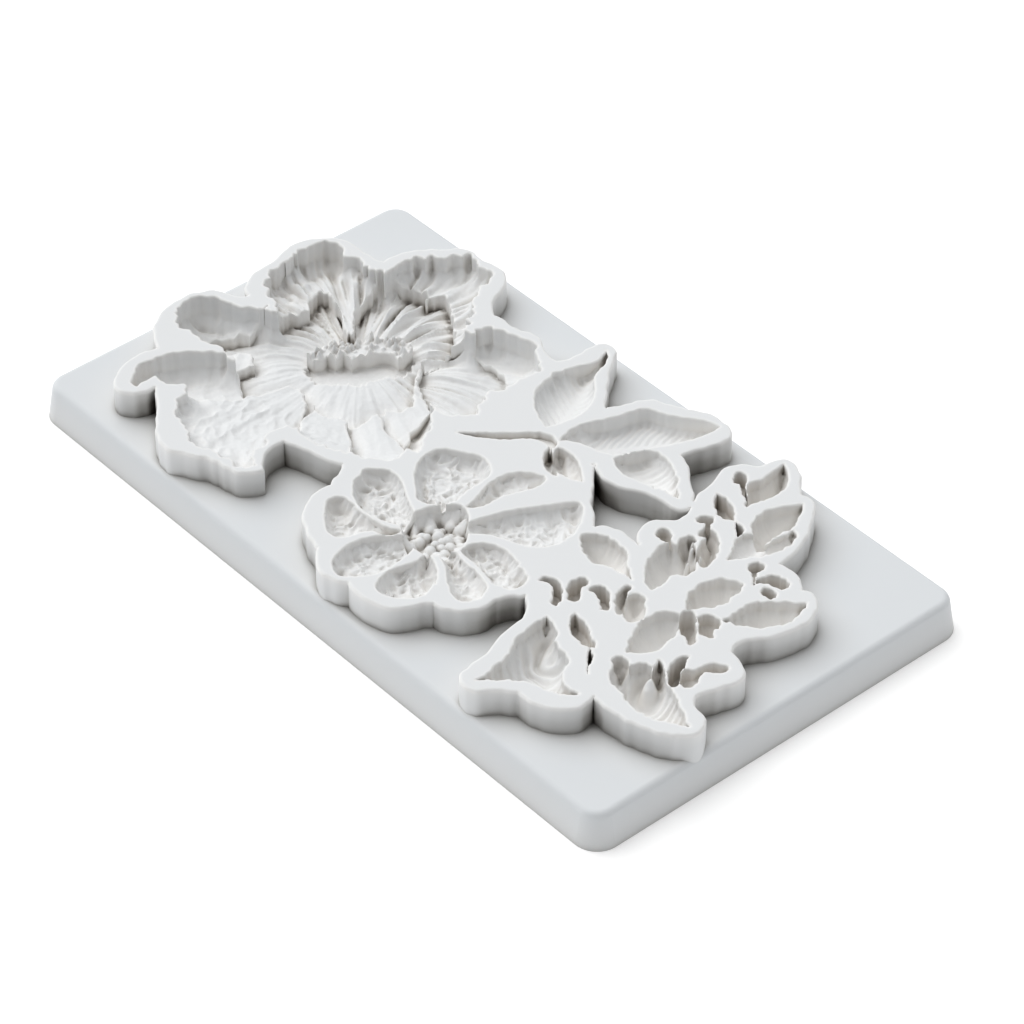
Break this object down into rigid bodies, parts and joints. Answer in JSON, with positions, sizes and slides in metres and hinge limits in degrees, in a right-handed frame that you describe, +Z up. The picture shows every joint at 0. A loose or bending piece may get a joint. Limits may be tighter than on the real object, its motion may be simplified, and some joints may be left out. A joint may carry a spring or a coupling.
{
  "type": "flexible relief mould",
  "caption": "Thin rectangular silicone mould with a raised island holding a peony, a leaf sprig, a daisy and a blossom spray as open cavities.",
  "frame": {"origin": "centre of the flat underside", "axes": "+X along the long side, from the peony towards the blossom spray; +Y across, from the daisy towards the leaf sprig; +Z up out of the open cavities"},
  "size_m": [0.126, 0.0708, 0.0109],
  "materials": {
    "silicone": "satin"
  },
  "bodies": {
    "root": {"base_slab": "silicone", "peony_block": "silicone", "leaf_sprig_block": "silicone", "daisy_block": "silicone", "blossom_spray_block": "silicone"}
  },
  "joints": []
}
